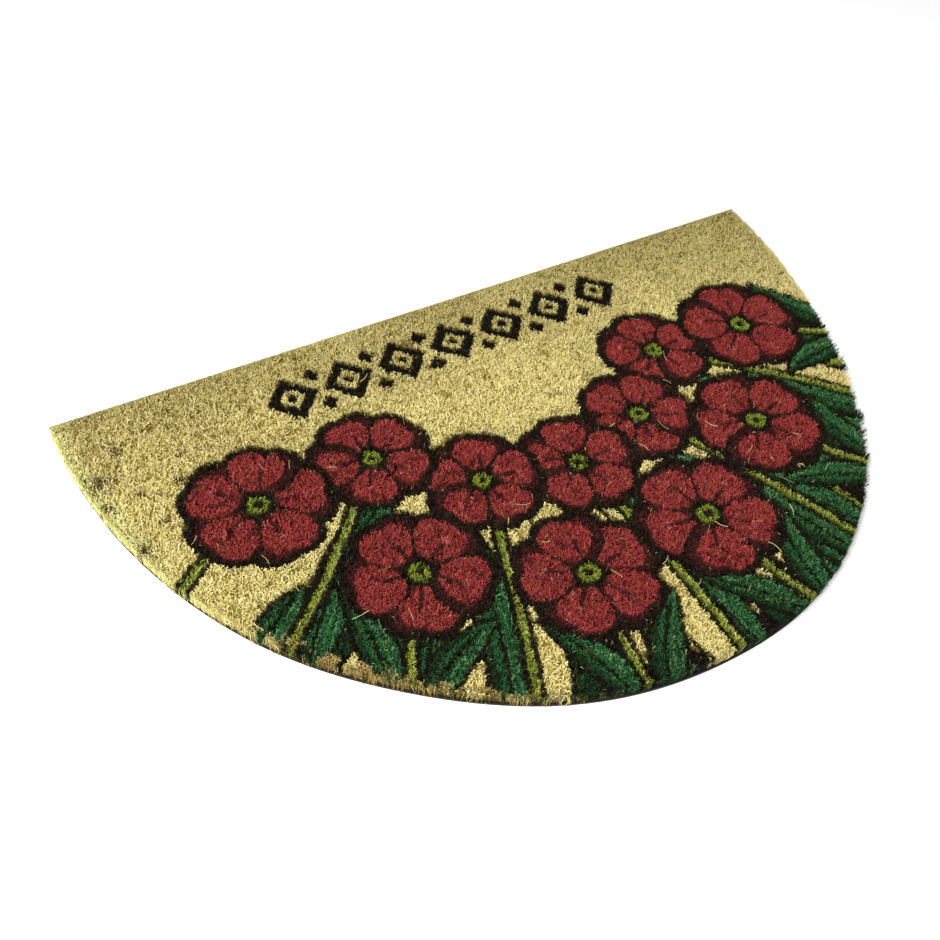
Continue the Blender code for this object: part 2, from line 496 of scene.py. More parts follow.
def paint_print(across, down):
    dye = np.zeros((len(across), 4))
    draw = np.random.default_rng(LAYOUT_SEED)
    paint_band(dye, across, down)
    paint_grass(dye, across, down, draw)
    for degrees, bodies in zip(INNER_ROW["degrees"], INNER_BODIES):
        paint_leaf_pair(dye, across, down, INNER_LEAF, degrees, bodies)
        paint_row_stem(dye, across, down, INNER_ROW, degrees, INNER_STEM_BEND)
    for degrees in OUTER_ROW["degrees"]:
        paint_leaf_pair(dye, across, down, OUTER_LEAF, degrees, ("green", "green"))
        paint_row_stem(dye, across, down, OUTER_ROW, degrees, OUTER_STEM_BEND)
    for row in (INNER_ROW, OUTER_ROW):
        for degrees in row["degrees"]:
            paint_rosette(dye, across, down, on_arc(row["scale"], degrees),
                          row["radius"] * draw.uniform(*SIZE_SPREAD), draw.uniform(0, 2 * math.pi))
    return dye


print(len(OUTER_ROW["degrees"]) + len(INNER_ROW["degrees"]), "rosettes")

# %% [markdown]
# ## Straw colours
# Undyed coir is straw coloured, and here it is not even. Towards the straight edge and the two ends it
# is greyer and darker, which is painted shade, with random grey clouds over it. Along the rim at the
# left it is paler, a painted highlight where the rim's fibres catch the lamp. Along the lower left it
# is brown, where the rim has lost its dye. The stretches of the rim are given in degrees round the arc,
# and fade in and out smoothly.

# %% Straw colours
STRAW = (227, 214, 145)
LIT_RIM_STRAW = (223, 218, 152)
GREY_SHADE_AND_CLOUD_STRAW = (168, 153, 92)
BROWN_STRAW = (186, 160, 98)
EDGE_SHADE_GREYNESS = 0.60
EDGE_GREY_REACH = 120.0
RIGHT_SHADE_GREYNESS = 0.15
RIGHT_GREY_ZONE = (120, 300)
LEFT_SHADE_GREYNESS = 0.08
LEFT_GREY_ZONE = (200, 330)
GREY_CLOUDS = 0.2
BARE_STARTS, BARE_ENDS = (108, 123), (146, 152)
BARE_ZONE = (0.989, 0.995)
BARE_WANDER = 0.012
BROWN_ENDS = (136, 145)
LIT_RIM_STARTS = (148, 165)
LIT_RIM_ZONE = (0.962, 0.992)


def mix(first, second, share):
    return first + (second - first) * share[:, None]


def ease(value, low, high):
    """0 below low and 1 above high, with a smooth rise between them."""
    share = np.clip((value - low) / (high - low), 0.0, 1.0)
    return share * share * (3 - 2 * share)


def fall(value, low, high):
    """1 below low and 0 above high."""
    return ease(-value, -high, -low)


def arc_place(x, y):
    """Share of the way out from the middle of the straight edge, and the direction in degrees."""
    across, down = (x - middle_x) / half_width, (straight_y - y) / depth
    return np.hypot(across, down), np.degrees(np.arctan2(down, across))


def rim_tufts(x, y):
    """The field that gathers the bare rim into tufts."""
    return soft_noise(x, y, 3.8, 25)


def bare_share(x, y):
    """How far the rim has lost its dye: 1 in the bare tufts along the lower left."""
    out, degrees = arc_place(x, y)
    stretch = ease(degrees, *BARE_STARTS) * fall(degrees, *BARE_ENDS)
    ragged = stretch * ease(rim_tufts(x, y), -0.25, 0.0)
    return ragged * ease(out + BARE_WANDER * soft_noise(x, y, 6.0, 24), *BARE_ZONE)


def straw_colours(x, y, bare):
    across, down = x - middle_x, straight_y - y
    out, degrees = arc_place(x, y)
    # painted shade: the straw turns greyer and darker towards the straight edge and the two ends; the grey
    # clouds on top are random
    shade_and_cloud_greyness = EDGE_SHADE_GREYNESS * np.clip(1 - down / EDGE_GREY_REACH, 0, 1)
    shade_and_cloud_greyness += RIGHT_SHADE_GREYNESS * ease(across, *RIGHT_GREY_ZONE)
    shade_and_cloud_greyness += LEFT_SHADE_GREYNESS * ease(-across, *LEFT_GREY_ZONE) + GREY_CLOUDS * soft_noise(x, y, 40.0, 23)
    straw = np.tile(linear(STRAW), (len(x), 1))
    straw = mix(straw, linear(GREY_SHADE_AND_CLOUD_STRAW), np.clip(shade_and_cloud_greyness, 0, 1))
    straw = mix(straw, linear(BROWN_STRAW), bare * fall(degrees, *BROWN_ENDS))
    # painted highlight: the straw is paler along the rim at the left, where its fibres catch the lamp
    return mix(straw, linear(LIT_RIM_STRAW), ease(degrees, *LIT_RIM_STARTS) * ease(out, *LIT_RIM_ZONE))


print("straw, as linear light", linear(STRAW).round(3))

# %% [markdown]
# ## Dyeing the fibres
# Dye creeps along a fibre and misses some, so the print's edges are ragged and a few pale fibres lie
# over the dark. Some fibres have faded, and no two take quite the same hue. A few smudges lie at the
# left, where the mat has been handled.

# %% Dye
BLEED = 0.2
WOBBLE = 0.8
TAKE_SPREAD = 0.02
MISSED_SHARE = 0.006
MISSED_TAKE = 0.55
BARE_RIM = 0.9
FADED_SHARE = 0.16
FADE = 0.55
HUE_SPREAD = 0.13
SMUDGE = (84, 68, 40)
SMUDGES = (
    # across, down, radius in millimetres, share of the fibres in its middle
    (-361.7, 78.7, 9.0, 0.75),
    (-365.4, 109.0, 4.5, 0.75),
    (-328.5, 138.4, 4.5, 0.65),
    (-355.1, 159.7, 5.0, 0.85),
    (-339.7, 48.7, 5.5, 0.60),
    (-293.9, 76.9, 4.5, 0.65),
    (-303.3, 103.5, 4.0, 0.70),
    (-339.9, 104.3, 4.5, 0.65),
)


def dye_fibres(x, y, draw):
    """For places in millimetres: the dye and how much of it, and the fibre's straw colour, with its stains
    and its painted shade and highlight.
    """
    across, down = x - middle_x, straight_y - y
    seen_across = across + draw.normal(0, BLEED, len(x)) + WOBBLE * soft_noise(x, y, 7.0, 21)
    seen_down = down + draw.normal(0, BLEED, len(x)) + WOBBLE * soft_noise(x, y, 7.0, 22)
    dye = paint_print(seen_across, seen_down)
    take = 1 - np.abs(draw.normal(0, TAKE_SPREAD, len(x)))
    take[draw.random(len(x)) < MISSED_SHARE] = MISSED_TAKE
    bare = bare_share(x, y)
    dye[:, 3] *= take * (1 - bare * BARE_RIM)
    straw = straw_colours(x, y, bare)
    faded = draw.random(len(x)) < FADED_SHARE
    dye[faded, :3] += FADE * dye[faded, :3].mean(axis=1)[:, None] * linear(STRAW)
    dye[:, :3] *= 1 + draw.uniform(-HUE_SPREAD, HUE_SPREAD, (len(x), 3))
    for place_across, place_down, radius, share in SMUDGES:
        near = np.hypot(across - place_across, down - place_down) / radius
        straw[draw.random(len(x)) < share * np.exp(-near ** 2)] = linear(SMUDGE)
    return dye, straw


sample = dye_fibres(np.array([middle_x]), np.array([straight_y - depth / 2]), np.random.default_rng(1))
print("dye in the middle of the mat", sample[0].round(3))

# %% [markdown]
# ## Node helpers
# Materials are built from a few kinds of node again and again, so each kind gets a short function. It
# makes the node, sets or links what it is given, and hands back its output.

# %% Node helpers
def new_group(name, inputs, outputs):
    group = bpy.data.node_groups.new(name, "ShaderNodeTree")
    for label, kind in inputs:
        group.interface.new_socket(label, in_out="INPUT", socket_type=kind)
    for label, kind in outputs:
        group.interface.new_socket(label, in_out="OUTPUT", socket_type=kind)
    return group, group.nodes.new("NodeGroupInput"), group.nodes.new("NodeGroupOutput")


def math_node(tree, operation, first, second=None):
    node = tree.nodes.new("ShaderNodeMath")
    node.operation = operation
    for socket, value in zip(node.inputs, (first, second)):
        if isinstance(value, (int, float)):
            socket.default_value = value
        elif value is not None:
            tree.links.new(value, socket)
    return node.outputs["Value"]


def mix_node(tree, blend, share, first, second):
    node = tree.nodes.new("ShaderNodeMix")
    node.data_type = "RGBA"
    node.blend_type = blend
    for socket, value in zip((node.inputs[0], node.inputs[6], node.inputs[7]), (share, first, second)):
        if isinstance(value, (int, float, tuple)):
            socket.default_value = value
        else:
            tree.links.new(value, socket)
    return node.outputs[2]


def ramp_node(tree, value, low, high):
    node = tree.nodes.new("ShaderNodeMapRange")
    node.interpolation_type = "SMOOTHSTEP"
    for socket, setting in zip(node.inputs, (value, low, high)):
        if isinstance(setting, (int, float)):
            socket.default_value = setting
        else:
            tree.links.new(setting, socket)
    return node.outputs["Result"]


print("node helpers ready")

# %% [markdown]
# ## The coir finish
# One node group colours every fibre. It blends from brown at the root, which is painted shade deep in
# the pile, through straw to the dye at the tip. It shifts each fibre a little lighter or darker by its
# own tone, which also carries painted shade in pits and between tufts of the rim. How far down the dye
# has soaked, how much of it the fibre took, and how high above the sheet the fibre starts are its own
# numbers too. The last sets how much of the painted root shade shows. The group puts out a colour, and
# the Principled shader stays in the material.

# %% Coir finish
# Painted shade: each fibre's straw is darkened towards its root, deep in the pile, and fades out part of
# the way up
ROOT_SHADE_COLOUR = (0.42, 0.35, 0.16, 1.0)
ROOT_SHADE_END = 0.72
SOAK_BLEND = 0.22
COIR_ROUGHNESS = 0.7
COIR_GLOSS = 0.07
FIBRE_COLOURS = ("Straw", "Dye")
FIBRE_NUMBERS = ("Take", "Rise", "Level", "Soak", "Tone")


def fibre_colour_group():
    group, given, result = new_group(
        "fibre colour",
        [(label, "NodeSocketColor") for label in FIBRE_COLOURS]
        + [(label, "NodeSocketFloat") for label in FIBRE_NUMBERS],
        [("Colour", "NodeSocketColor")])
    sockets = given.outputs
    room_above = math_node(group, "SUBTRACT", 1.0, sockets["Level"])
    above = math_node(group, "MULTIPLY", sockets["Rise"], room_above)
    rise = math_node(group, "ADD", sockets["Level"], above)
    # painted shade at the root, blended out towards the tip
    root = mix_node(group, "MULTIPLY", 1.0, sockets["Straw"], ROOT_SHADE_COLOUR)
    plain = mix_node(group, "MIX", ramp_node(group, rise, 0.0, ROOT_SHADE_END), root, sockets["Straw"])
    soak_end = math_node(group, "ADD", sockets["Soak"], SOAK_BLEND)
    reached = ramp_node(group, rise, sockets["Soak"], soak_end)
    soaked = math_node(group, "MULTIPLY", reached, sockets["Take"])
    dyed = mix_node(group, "MIX", soaked, plain, sockets["Dye"])
    toned = group.nodes.new("ShaderNodeHueSaturation")
    group.links.new(sockets["Tone"], toned.inputs["Value"])
    group.links.new(dyed, toned.inputs["Color"])
    group.links.new(toned.outputs["Color"], result.inputs["Colour"])
    return group


def attribute_node(tree, name):
    node = tree.nodes.new("ShaderNodeAttribute")
    node.attribute_name = name
    return node


def coir_material():
    material = bpy.data.materials.new("coir")
    material.use_nodes = True
    tree = material.node_tree
    shader = tree.nodes["Principled BSDF"]
    shader.inputs["Roughness"].default_value = COIR_ROUGHNESS
    shader.inputs["Specular IOR Level"].default_value = COIR_GLOSS
    colour = tree.nodes.new("ShaderNodeGroup")
    colour.node_tree = fibre_colour_group()
    for label in FIBRE_COLOURS:
        tree.links.new(attribute_node(tree, label.lower()).outputs["Color"], colour.inputs[label])
    for label in FIBRE_NUMBERS:
        tree.links.new(attribute_node(tree, label.lower()).outputs["Fac"], colour.inputs[label])
    tree.links.new(colour.outputs["Colour"], shader.inputs["Base Color"])
    return material


coir = coir_material()
print("coir finish ready")

# %% [markdown]
# ## Fibre shapes
# A cut coir fibre is a stiff strand about as thick as a pencil lead. With this many, each may have
# only a few faces. A straight one is a closed wedge of four triangles: an edge at the foot and an
# edge across it at the tip, so that it looks as wide at the top as lower down. A bent one has three
# sides and one knee, and a long stray has more. Each shape is 1 high and carries its height as an
# attribute called rise, and the spot of each corner in its own small cell of the bake map.

# %% Fibre shapes
STRAIGHT_SHAPES = (
    # name, width of the foot, width of the tip
    ("fibre_a_thin", 0.8, 0.7),
    ("fibre_b_full", 1.0, 0.9),
    ("fibre_c_flat", 1.0, 1.2),
)
CURVED_SHAPES = (
    # name, width of the foot, width of the tip, number of levels, sideways bow
    ("fibre_d_bent", 1.0, 0.5, 3, 2.5),
    ("fibre_e_stray", 1.0, 0.7, 7, 4.0),
)
STRAIGHT_KINDS = len(STRAIGHT_SHAPES)
BENT_KIND, STRAY_KIND = STRAIGHT_KINDS, STRAIGHT_KINDS + 1


def keep_shape(name, bm, rises, spots):
    bmesh.ops.recalc_face_normals(bm, faces=bm.faces[:])
    mesh = bpy.data.meshes.new(name)
    bm.to_mesh(mesh)
    bm.free()
    mesh.attributes.new("rise", "FLOAT", "POINT").data.foreach_set("value", rises)
    mesh.attributes.new("spot", "FLOAT2", "POINT").data.foreach_set("vector", np.ravel(spots))
    return bpy.data.objects.new(name, mesh)


def straight_fibre(name, foot, tip):
    bm = bmesh.new()
    corners = ((-foot / 2, 0, 0), (foot / 2, 0, 0), (0, -tip / 2, 1), (0, tip / 2, 1))
    bmesh.ops.convex_hull(bm, input=[bm.verts.new(corner) for corner in corners])
    return keep_shape(name, bm, (0.0, 0.0, 1.0, 1.0), ((0, 0), (1, 0), (0, 1), (1, 1)))


def curved_fibre(name, foot, tip, levels, bow):
    """A three-sided strand that bows sideways, with its ends on one line."""
    bm = bmesh.new()
    rings, rises, spots = [], [], []
    for level in np.linspace(0, 1, levels):
        radius = (foot + (tip - foot) * level) / 2
        ring = []
        for side in range(3):
            angle = side * 2 * math.pi / 3
            across = radius * math.cos(angle) + bow * math.sin(math.pi * level)
            ring.append(bm.verts.new((across, radius * math.sin(angle), level)))
            rises.append(level)
            spots.append((side / 2, level))
        rings.append(ring)
    for lower, upper in zip(rings, rings[1:]):
        for side in range(3):
            after = (side + 1) % 3
            bm.faces.new((lower[side], lower[after], upper[after], upper[side]))
    bm.faces.new(rings[0][::-1])
    bm.faces.new(rings[-1])
    bmesh.ops.triangulate(bm, faces=bm.faces[:])
    return keep_shape(name, bm, rises, spots)


def fibre_kit():
    kit = bpy.data.collections.new("fibre shapes")
    for shape in STRAIGHT_SHAPES:
        kit.objects.link(straight_fibre(*shape))
    for shape in CURVED_SHAPES:
        kit.objects.link(curved_fibre(*shape))
    return kit


shapes = fibre_kit()

# %% [markdown]
# ## The planting tree
# Fibres could be a hair system, but hair is curves and not closed meshes. Geometry Nodes can put a
# shape on every point of a mesh and then realize the copies into one mesh, which is what the export
# needs. The points carry which shape to use, how it is turned and sized, and its dyes.

# %% Planting tree
def planting_tree(kit):
    tree = bpy.data.node_groups.new("plant fibres", "GeometryNodeTree")
    tree.interface.new_socket("Geometry", in_out="INPUT", socket_type="NodeSocketGeometry")
    tree.interface.new_socket("Geometry", in_out="OUTPUT", socket_type="NodeSocketGeometry")
    given, result = tree.nodes.new("NodeGroupInput"), tree.nodes.new("NodeGroupOutput")
    shelf = tree.nodes.new("GeometryNodeCollectionInfo")
    shelf.inputs["Collection"].default_value = kit
    shelf.inputs["Separate Children"].default_value = True
    shelf.inputs["Reset Children"].default_value = True
    plant = tree.nodes.new("GeometryNodeInstanceOnPoints")
    plant.inputs["Pick Instance"].default_value = True
    for name, kind, socket in (("kind", "INT", "Instance Index"),
                               ("turn", "QUATERNION", "Rotation"),
                               ("size", "FLOAT_VECTOR", "Scale")):
        read = tree.nodes.new("GeometryNodeInputNamedAttribute")
        read.data_type = kind
        read.inputs["Name"].default_value = name
        tree.links.new(read.outputs["Attribute"], plant.inputs[socket])
    real = tree.nodes.new("GeometryNodeRealizeInstances")
    tree.links.new(given.outputs["Geometry"], plant.inputs["Points"])
    tree.links.new(shelf.outputs[0], plant.inputs["Instance"])
    tree.links.new(plant.outputs["Instances"], real.inputs["Geometry"])
    tree.links.new(real.outputs["Geometry"], result.inputs["Geometry"])
    return tree


planting = planting_tree(shapes)
print("planting tree with", len(planting.nodes), "nodes")

# %% [markdown]
# ## Turning the fibres
# Each fibre is spun about itself and tipped over by its own slopes. Euler angles would mix the two, so
# the turns are quaternions, multiplied here for all the fibres at once.

# %% Turns
def product(a, b):
    """Product of two arrays of quaternions, w x y z."""
    aw, ax, ay, az = a.T
    bw, bx, by, bz = b.T
    return np.stack((aw * bw - ax * bx - ay * by - az * bz,
                     aw * bx + ax * bw + ay * bz - az * by,
                     aw * by - ax * bz + ay * bw + az * bx,
                     aw * bz + ax * by - ay * bx + az * bw), axis=1)


def turns(lean_x, lean_y, spin):
    """Each fibre spun about itself, then tipped over by the two slopes."""
    heading = np.arctan2(lean_y, lean_x)
    tip = np.arctan(np.hypot(lean_x, lean_y))
    zero = np.zeros_like(spin)
    towards = np.stack((np.cos(heading / 2), zero, zero, np.sin(heading / 2)), axis=1)
    over = np.stack((np.cos(tip / 2), zero, np.sin(tip / 2), zero), axis=1)
    own = np.stack((np.cos(spin / 2), zero, zero, np.sin(spin / 2)), axis=1)
    return product(product(towards, over), own)


print("an upright turn", turns(np.zeros(1), np.zeros(1), np.zeros(1)).round(3))

# %% [markdown]
# ## Planting
# The seeds are the points of a mesh, with an attribute for everything that the tree or the finish reads.
# The grown mesh keeps those attributes on its corners. A bake map gives each fibre a small cell of its
# own, with its root at the cell's foot and its tip at the top, so that its colours can be baked.

# %% Planting
CELL_USED = 0.8
CELL_MARGIN = 0.1


def lay_bake_map(mesh, side):
    cell, spot = np.empty(len(mesh.vertices) * 2), np.empty(len(mesh.vertices) * 2)
    mesh.attributes["cell"].data.foreach_get("vector", cell)
    mesh.attributes["spot"].data.foreach_get("vector", spot)
    corner = np.empty(len(mesh.loops), int)
    mesh.loops.foreach_get("vertex_index", corner)
    places = (cell + (spot * CELL_USED + CELL_MARGIN) / side).reshape(-1, 2)[corner]
    layer = mesh.uv_layers.new(name="OFBake")
    layer.data.foreach_set("uv", places.ravel())
    for name in ("cell", "spot", "kind", "turn", "size"):
        if name in mesh.attributes:
            mesh.attributes.remove(mesh.attributes[name])


def write_attributes(mesh, table):
    """table holds a label, a kind of attribute, the field to fill and the values, for each attribute."""
    for label, kind, field, values in table:
        mesh.attributes.new(label, kind, "POINT").data.foreach_set(field, np.ravel(values))


def opaque(colours):
    return np.c_[colours, np.ones(len(colours))]


def join_tables(tables):
    return {label: np.concatenate([table[label] for table in tables]) for label in tables[0]}


def plant_fibres(name, fibres):
    """fibres holds one array for each attribute, places and sizes in millimetres."""
    count = len(fibres["kind"])
    mesh = bpy.data.meshes.new(name)
    mesh.vertices.add(count)
    mesh.vertices.foreach_set("co", (fibres["place"] * MM).ravel())
    side = math.ceil(math.sqrt(count))
    cell = np.stack((np.arange(count) % side, np.arange(count) // side), axis=1) / side
    write_attributes(mesh, (
        ("kind", "INT", "value", fibres["kind"]),
        ("turn", "QUATERNION", "value", fibres["turn"]),
        ("size", "FLOAT_VECTOR", "vector", fibres["size"] * MM),
        ("tone", "FLOAT", "value", fibres["tone"]),
        ("level", "FLOAT", "value", fibres["level"]),
        ("soak", "FLOAT", "value", fibres["soak"]),
        ("take", "FLOAT", "value", fibres["dye"][:, 3]),
        ("cell", "FLOAT2", "vector", cell),
        ("dye", "FLOAT_COLOR", "color", opaque(fibres["dye"][:, :3])),
        ("straw", "FLOAT_COLOR", "color", opaque(fibres["straw"]))))
    seeds = bpy.data.objects.new(name + " seeds", mesh)
    bpy.context.scene.collection.objects.link(seeds)
    modifier = seeds.modifiers.new("plant", "NODES")
    modifier.node_group = planting
    grown = bpy.data.meshes.new_from_object(seeds.evaluated_get(bpy.context.evaluated_depsgraph_get()))
    bpy.data.objects.remove(seeds)
    piece = bpy.data.objects.new(name, grown)
    bpy.context.scene.collection.objects.link(piece)
    lay_bake_map(grown, side)
    grown.materials.clear()
    grown.materials.append(coir)
    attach(piece, "root")
    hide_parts("coir_pile")
    print(name, count, "fibres,", len(grown.polygons), "faces")
    return piece


print("planting ready")

# %% [markdown]
# ## The mown top
# The top of the pile rises and dips a little, and here and there a few fibres are cut short, which
# leaves a dark pit. The fibres stand on a loose grid, about a millimetre and a half apart. None of them
# may hang out over the straight edge, where the mat was cut last.

# %% Mown top
PILE_TOP = 16.0
RIM_MARGIN = 0.8
CALM_EDGE = 6.0
ARC_OVERHANG = 1.6
EDGE_OVERHANG = 0.2
HELD_LEAN = 0.3
SMALL_LUMPS, WIDE_LUMPS = 0.45, 0.35
PIT_LEVELS = (0.30, 0.50)
LEFT_PITS = 0.12
CALM_RIM = 0.7
CALM_ZONE, CALM_STARTS = (0.93, 0.98), (140, 160)


def pile_top(x, y):
    """How far the mown top rises or dips, in millimetres."""
    return SMALL_LUMPS * soft_noise(x, y, 5.0, 31) + WIDE_LUMPS * soft_noise(x, y, 14.0, 32)


def pit_share(x, y):
    """1 in the middle of a pit and 0 on the mown top. There are more pits towards the left."""
    out, degrees = arc_place(x, y)
    calm = ease(out, *CALM_ZONE) * ease(degrees, *CALM_STARTS)
    field = soft_noise(x, y, 3.0, 33) + LEFT_PITS * ease(degrees, 90, 180)
    return ease(field, *PIT_LEVELS) * (1 - CALM_RIM * calm)


def standing_places(draw, spacing):
    columns = np.arange(rim[:, 0].min(), rim[:, 0].max(), spacing)
    rows = np.arange(rim[:, 1].min(), rim[:, 1].max(), spacing)
    x, y = (axis.ravel() for axis in np.meshgrid(columns, rows))
    x = x + draw.uniform(-0.5, 0.5, len(x)) * spacing
    y = y + draw.uniform(-0.5, 0.5, len(y)) * spacing
    kept = inside_rim(x, y)
    x, y = x[kept], y[kept]
    kept = rim_distance(x, y) > RIM_MARGIN
    return x[kept], y[kept]


def hold_in(x, y, lean_x, lean_y, length, overhang):
    """Less lean for fibres whose tips would hang out too far over the cut edges."""
    lean_y = np.minimum(lean_y, (straight_y + EDGE_OVERHANG - y) / length)
    tip_x, tip_y = x + lean_x * length, y + lean_y * length
    out = ~inside_rim(tip_x, tip_y) & (straight_y - y > ARC_OVERHANG)
    overhang = np.broadcast_to(overhang, x.shape)
    far = out.copy()
    far[out] = rim_distance(tip_x[out], tip_y[out]) > overhang[out]
    return np.where(far, lean_x * HELD_LEAN, lean_x), np.where(far, lean_y * HELD_LEAN, lean_y)


def roughness_near_edge(y):
    """1 over most of the mat, falling to 0 at the straight edge, where the cut leaves the tips level."""
    return ease(straight_y - y, 0.0, CALM_EDGE)


middle_spot = np.array([middle_x]), np.array([straight_y - depth / 2])
print("top in the middle", pile_top(*middle_spot).round(2), "pit", pit_share(*middle_spot).round(2))

# %% [markdown]
# ## A table of fibres
# Every kind of fibre ends up in a table with the same columns, so that one function can plant them all.
# A fibre takes its dye from a point on its way up, because that is the part one sees from above.

# %% Fibre table
PILE_SOAK = 0.15
# Painted shade: how strongly darker fibres lose blue and turn more saturated
SHADE_SATURATION = 1.15
UPRIGHT_SEEN_AT = 0.75
LYING_SEEN_AT = 0.5


def slopes(tip, heading):
    """The two slopes of a fibre that is tipped over by an angle, towards a heading."""
    return np.tan(tip) * np.cos(heading), np.tan(tip) * np.sin(heading)


def fibre_table(x, y, foot, kind, lean_x, lean_y, height, width, tone, level, draw,
                overhang=ARC_OVERHANG, shade_saturation=SHADE_SATURATION):
    """One array for each attribute of some fibres, from their feet, leans and heights."""
    count = len(x)
    lean_x, lean_y = hold_in(x, y, lean_x, lean_y, height, overhang)
    seen = LYING_SEEN_AT if level > 0 else UPRIGHT_SEEN_AT
    dye, straw = dye_fibres(x + lean_x * height * seen, y + lean_y * height * seen, draw)
    # painted shade: darker fibres lose blue, so their straw grows more saturated where it is dark
    straw[:, 2] *= np.clip(tone, 0.4, 1.2) ** shade_saturation
    return {
        "place": np.stack((x, y, foot), axis=1),
        "kind": kind,
        "turn": turns(lean_x, lean_y, draw.uniform(0, 2 * math.pi, count)),
        "size": np.stack((width, width, height * np.hypot(1.0, np.hypot(lean_x, lean_y))), axis=1),
        "tone": tone,
        "level": np.full(count, level),
        "soak": np.full(count, PILE_SOAK),
        "dye": dye,
        "straw": straw,
    }


print("fibre table ready")

# %% [markdown]
# ## The pile
# The fibres of the pile don't stand straight: slow waves of lean run through it, and each fibre leans a
# little its own way. Only their upper halves are modelled, because the bed hides the rest.

# %% Upright fibres
FIBRE_SPACING = 1.54
FIBRE_FATNESS = 1.0
ROOT_HEIGHT = 8.5
WAVE_LEAN = 0.24
SLOW_WAVE_LEAN = 0.12
OWN_LEAN = 0.42
CUT_SPREAD = 0.8
PIT_DEPTH = 5.5
PIT_SHADE = 0.5


def upright_fibres(draw):
    x, y = standing_places(draw, FIBRE_SPACING)
    count = len(x)
    lean_x, lean_y = (WAVE_LEAN * soft_noise(x, y, 3.2, seed)
                      + SLOW_WAVE_LEAN * soft_noise(x, y, 11.0, seed + 2)
                      + draw.normal(0, OWN_LEAN, count) for seed in (41, 42))
    pit = pit_share(x, y)
    unevenness = pile_top(x, y) - np.abs(draw.normal(0, CUT_SPREAD, count))
    unevenness -= PIT_DEPTH * pit * draw.uniform(0.3, 1, count)
    height = PILE_TOP - ROOT_HEIGHT + unevenness * roughness_near_edge(y)
    width = draw.uniform(0.65, 1.2, count) * FIBRE_FATNESS
    # painted shade: fibres in a pit are darkened by their pit share
    tone = np.clip(draw.normal(1.0, 0.12, count), 0.5, 1.14) * (1 - PIT_SHADE * pit)
    kind = draw.integers(0, STRAIGHT_KINDS, count)
    foot = np.full(count, ROOT_HEIGHT)
    return fibre_table(x, y, foot, kind, lean_x, lean_y, height, width, tone, 0.0, draw)


print("fibres", FIBRE_SPACING, "mm apart")

# %% [markdown]
# ## Loose fibres and strays
# Over the cut tips lie finer fibres that have worked loose and lie nearly flat, and some long pale
# strays. Then everything is planted in bands across the mat, so that no piece gets too many triangles.

# %% Loose fibres
LOOSE_SPACING = 1.66
LOOSE_LEVEL = 0.6
# Painted highlight: share of loose fibres made brighter, and by how much
GLINT_SHARE, GLINT_GAIN = 0.04, 1.15
STRAYS = 45
STRAY_LEVEL = 0.8
DYED_STRAYS, STRAY_DYE = 0.4, 0.25
PILE_SEED = 5
BANDS = 5


def loose_fibres(draw):
    x, y = standing_places(draw, LOOSE_SPACING)
    kept = pit_share(x, y) < 0.3
    x, y = x[kept], y[kept]
    count = len(x)
    length = draw.uniform(1.5, 3.4, count)
    tip = np.radians(draw.uniform(52, 80, count))
    heading = draw.uniform(0, 2 * math.pi, count)
    height = length * np.cos(tip)
    unevenness = pile_top(x, y) + draw.uniform(-0.7, 0.1, count)
    foot = PILE_TOP + unevenness * roughness_near_edge(y) - height
    tone = np.clip(draw.normal(1.03, 0.13, count), 0.6, 1.2)
    # painted highlight: a few loose fibres are brightened, standing for glints on single hairs
    tone[draw.random(count) < GLINT_SHARE] *= GLINT_GAIN
    kind = draw.integers(0, STRAIGHT_KINDS, count)
    width = draw.uniform(0.35, 0.65, count) * FIBRE_FATNESS
    return fibre_table(x, y, foot, kind, *slopes(tip, heading), height, width, tone, LOOSE_LEVEL, draw)


def stray_fibres(draw):
    angle = np.radians(draw.uniform(4, 176, STRAYS))
    out = np.sqrt(draw.uniform(0.02, 0.88, STRAYS))
    x, y = middle_x + half_width * out * np.cos(angle), straight_y - depth * out * np.sin(angle)
    tip = np.radians(draw.uniform(80, 87, STRAYS))
    heading = draw.uniform(0, 2 * math.pi, STRAYS)
    height = draw.uniform(7, 15, STRAYS) * np.cos(tip)
    width = draw.uniform(0.26, 0.40, STRAYS)
    tone = draw.uniform(0.95, 1.3, STRAYS)
    foot, kind = np.full(STRAYS, PILE_TOP + 0.2), np.full(STRAYS, STRAY_KIND)
    strays = fibre_table(x, y, foot, kind, *slopes(tip, heading), height, width, tone, STRAY_LEVEL, draw)
    strays["dye"][:, 3] *= STRAY_DYE * (draw.random(STRAYS) < DYED_STRAYS)
    return strays


def grow_pile():
    draw = np.random.default_rng(PILE_SEED)
    fibres = join_tables((upright_fibres(draw), loose_fibres(draw), stray_fibres(draw)))
    order = np.argsort(-fibres["place"][:, 1])
    for band, part in enumerate(np.array_split(order, BANDS)):
        plant_fibres(f"coir_band_{band + 1}", {label: values[part] for label, values in fibres.items()})


grow_pile()

# %% [markdown]
# ## Walking round the rim
# Along the cut edges the fibres show from foot to tip, and they look different from place to place. The
# dye reaches them from above, so it soaks further down where more was laid on. The stations say how the
# rim changes on its way round: clean at the right corner, then shaggy with dark spikes, dark to the foot
# at the lower right, bare and curly at the lower left, and calm and pale at the left.

